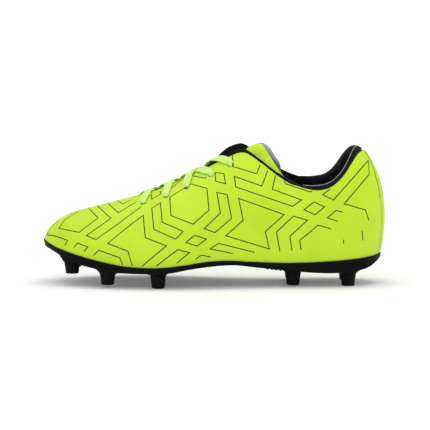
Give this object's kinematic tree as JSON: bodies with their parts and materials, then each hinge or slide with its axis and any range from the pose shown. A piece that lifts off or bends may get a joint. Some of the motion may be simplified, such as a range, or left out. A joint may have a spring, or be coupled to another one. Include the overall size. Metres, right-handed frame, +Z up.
{
  "type": "soccer cleat",
  "caption": "Low laced soccer cleat for the left foot: synthetic upper with padded collar on a moulded firm-ground plate with conical studs.",
  "frame": {"origin": "on the ground under the middle of the shoe's footprint box, at the stud tips", "axes": "+X from the toe to the heel, +Z up, -Y the lateral (outer) side of a left shoe"},
  "size_m": [0.2868, 0.0974, 0.1191],
  "materials": {
    "tpu_black": "satin moulded plate with a fine spark-eroded texture",
    "stud_black": "satin moulded studs, scuffed at the tips",
    "board": "matt fibre board",
    "sock_foam": "matt moulded foam",
    "sock_cover": "brushed knit textile",
    "stiffener": "matt thermoplastic sheet",
    "synthetic_lime": "satin coated synthetic with fine grain and printed dark linework",
    "tape": "matt woven tape",
    "lining_black": "matt knit mesh",
    "collar_black": "soft padded textile with a light stitched line",
    "foam_grey": "matt open-cell foam",
    "binding_black": "woven binding tape",
    "tongue_lime": "satin coated synthetic",
    "tongue_grey": "light grey knit",
    "lace_lime": "flat woven polyester lace",
    "aglet_clear": "gloss film-wrapped lace tips"
  },
  "bodies": {
    "shoe": {"outsole_plate": "tpu_black", "studs_forefoot": "stud_black", "studs_heel": "stud_black", "insole_board": "board", "toe_puff": "stiffener", "heel_counter": "stiffener", "vamp": "synthetic_lime", "lateral_quarter": "synthetic_lime", "medial_quarter": "synthetic_lime", "heel_backstay": "synthetic_lime", "lateral_eyestay_tape": "tape", "medial_eyestay_tape": "tape", "vamp_lining": "lining_black", "lateral_lining": "lining_black", "medial_lining": "lining_black", "heel_lining": "collar_black", "collar_foam": "foam_grey", "lateral_binding": "binding_black", "medial_binding": "binding_black", "tongue_face": "tongue_lime", "tongue_foam": "foam_grey", "tongue_lining": "tongue_grey", "lace": "lace_lime", "aglets": "aglet_clear"},
    "sockliner": {"sockliner_foam": "sock_foam", "sockliner_cover": "sock_cover"},
    "tongue_end": {"tongue_face_tip": "tongue_lime", "tongue_foam_tip": "foam_grey", "tongue_lining_tip": "tongue_grey"}
  },
  "joints": [
    {"name": "sockliner_lift", "type": "hinge", "parent": "shoe", "child": "sockliner", "pos_m": [-0.1377, 0, 0.0354], "axis": [0, -1, 0], "range_deg": [0, 5]},
    {"name": "tongue_flex", "type": "hinge", "parent": "shoe", "child": "tongue_end", "pos_m": [0.0272, 0, 0.1165], "axis": [0, -1, 0], "range_deg": [0, 22], "stiffness_Nm_per_rad": 0.02}
  ]
}
